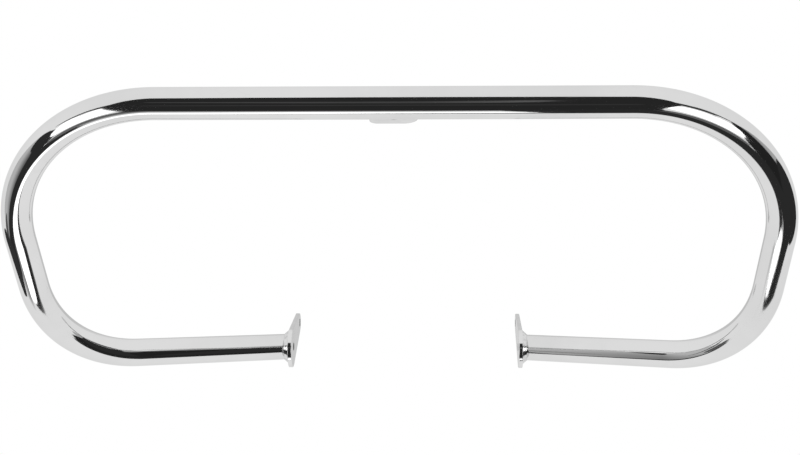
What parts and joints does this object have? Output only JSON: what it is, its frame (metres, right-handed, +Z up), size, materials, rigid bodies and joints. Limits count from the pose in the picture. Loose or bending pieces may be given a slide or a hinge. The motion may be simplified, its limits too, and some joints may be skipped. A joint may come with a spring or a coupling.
{
  "type": "motorcycle crash bars",
  "caption": "Chromed steel tube bent into an open loop that guards a motorcycle's engine, with flat bolt-on flanges on its lower ends and a bolt tab behind the top bar.",
  "frame": {"origin": "centre of the top tab's bolt hole, halfway through the tab, on the plane that halves the guard", "axes": "+X across the motorcycle, to the right as seen from the front; +Y towards the rear of the motorcycle; +Z up"},
  "size_m": [0.8128, 0.3901, 0.4254],
  "materials": {
    "chromed_tube": "mirror-polished chrome plate on steel tube",
    "chromed_plate": "polished chrome plate on steel plate",
    "chromed_weld": "chrome plate over the weld's ripples"
  },
  "bodies": {
    "root": {"guard_tube": "chromed_tube", "left_flange": "chromed_plate", "right_flange": "chromed_plate", "top_tab": "chromed_plate", "left_flange_weld": "chromed_weld", "right_flange_weld": "chromed_weld", "top_tab_weld": "chromed_weld"}
  },
  "joints": []
}
